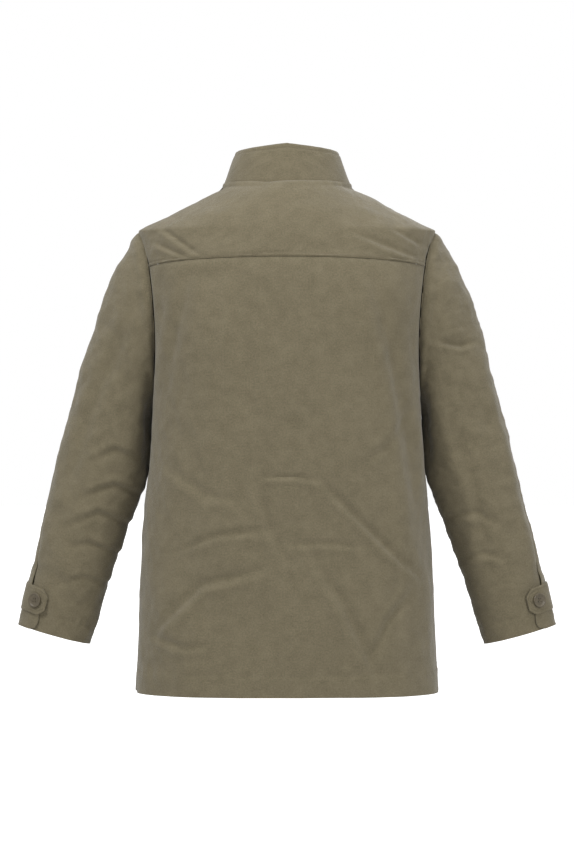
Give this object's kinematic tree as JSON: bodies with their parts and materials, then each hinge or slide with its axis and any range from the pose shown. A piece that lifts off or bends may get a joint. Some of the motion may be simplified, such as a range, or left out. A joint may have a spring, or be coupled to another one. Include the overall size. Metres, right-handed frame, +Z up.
{
  "type": "stand-collar field jacket",
  "caption": "Olive stand-collar field jacket on an invisible form: yoke, two-piece sleeves with buttoned cuff tabs, zip front, flap pockets.",
  "frame": {"origin": "middle of the neck opening, level with the collar seam at the centre back, where a hanger's hook rises", "axes": "+Z up, -Y the garment's front, +X the wearer's left"},
  "size_m": [0.8208, 0.2878, 0.8249],
  "materials": {
    "shell_cloth": "matte",
    "lining": "matte",
    "button": "satin",
    "metal": "satin",
    "tape": "matte",
    "label": "matte"
  },
  "bodies": {
    "jacket": {"back_panel": "shell_cloth", "back_yoke": "shell_cloth", "back_lining": "lining", "left_front": "shell_cloth", "left_front_lining": "lining", "left_facing": "shell_cloth", "right_front": "shell_cloth", "right_front_lining": "lining", "right_facing": "shell_cloth", "left_collar": "shell_cloth", "right_collar": "shell_cloth", "collar_lining": "shell_cloth", "left_top_sleeve": "shell_cloth", "left_under_sleeve": "shell_cloth", "left_sleeve_lining": "lining", "right_top_sleeve": "shell_cloth", "right_under_sleeve": "shell_cloth", "right_sleeve_lining": "lining", "left_cuff_button": "button", "right_cuff_button": "button", "left_chest_pocket": "shell_cloth", "left_chest_button": "button", "left_hip_pocket": "shell_cloth", "left_hip_button": "button", "right_chest_pocket": "shell_cloth", "right_chest_button": "button", "right_hip_pocket": "shell_cloth", "right_hip_button": "button", "left_zip_tape": "tape", "left_zip_teeth": "metal", "left_zip_stop": "metal", "right_zip_tape": "tape", "right_zip_teeth": "metal", "right_zip_stop": "metal", "zip_box": "metal", "yoke_lining": "lining", "hanger_loop": "tape", "neck_label": "label"},
    "left_chest_flap": {"left_chest_flap": "shell_cloth"},
    "left_hip_flap": {"left_hip_flap": "shell_cloth"},
    "left_cuff_tab": {"left_cuff_tab": "shell_cloth"},
    "right_chest_flap": {"right_chest_flap": "shell_cloth"},
    "right_hip_flap": {"right_hip_flap": "shell_cloth"},
    "right_cuff_tab": {"right_cuff_tab": "shell_cloth"},
    "zip_slider": {"zip_slider": "metal"},
    "zip_pull": {"zip_pull": "metal"}
  },
  "joints": [
    {"name": "left_chest_flap_lift", "type": "hinge", "parent": "jacket", "child": "left_chest_flap", "pos_m": [0.088, -0.11038, -0.259], "axis": [-0.9896, -0.144, 0], "range_deg": [0, 110]},
    {"name": "left_hip_flap_lift", "type": "hinge", "parent": "jacket", "child": "left_hip_flap", "pos_m": [0.102, -0.12004, -0.487], "axis": [-0.9801, -0.1984, 0], "range_deg": [0, 110]},
    {"name": "left_tab_open", "type": "hinge", "parent": "jacket", "child": "left_cuff_tab", "pos_m": [0.39982, -0.02363, -0.62524], "axis": [0.235, -0.0537, -0.9705], "range_deg": [0, 95]},
    {"name": "right_chest_flap_lift", "type": "hinge", "parent": "jacket", "child": "right_chest_flap", "pos_m": [-0.088, -0.11038, -0.259], "axis": [-0.9896, 0.144, 0], "range_deg": [0, 110]},
    {"name": "right_hip_flap_lift", "type": "hinge", "parent": "jacket", "child": "right_hip_flap", "pos_m": [-0.102, -0.12004, -0.487], "axis": [-0.9801, 0.1984, 0], "range_deg": [0, 110]},
    {"name": "right_tab_open", "type": "hinge", "parent": "jacket", "child": "right_cuff_tab", "pos_m": [-0.39982, -0.02363, -0.62524], "axis": [0.235, 0.0537, 0.9705], "range_deg": [0, 95]},
    {"name": "zip_slide", "type": "slide", "parent": "jacket", "child": "zip_slider", "axis": [0, -0.0495, -0.9988], "range_m": [0, 0.63]},
    {"name": "zip_pull_swing", "type": "hinge", "parent": "zip_slider", "child": "zip_pull", "pos_m": [0, -0.10794, -0.10284], "axis": [-1, 0, 0], "range_deg": [0, 140]}
  ]
}
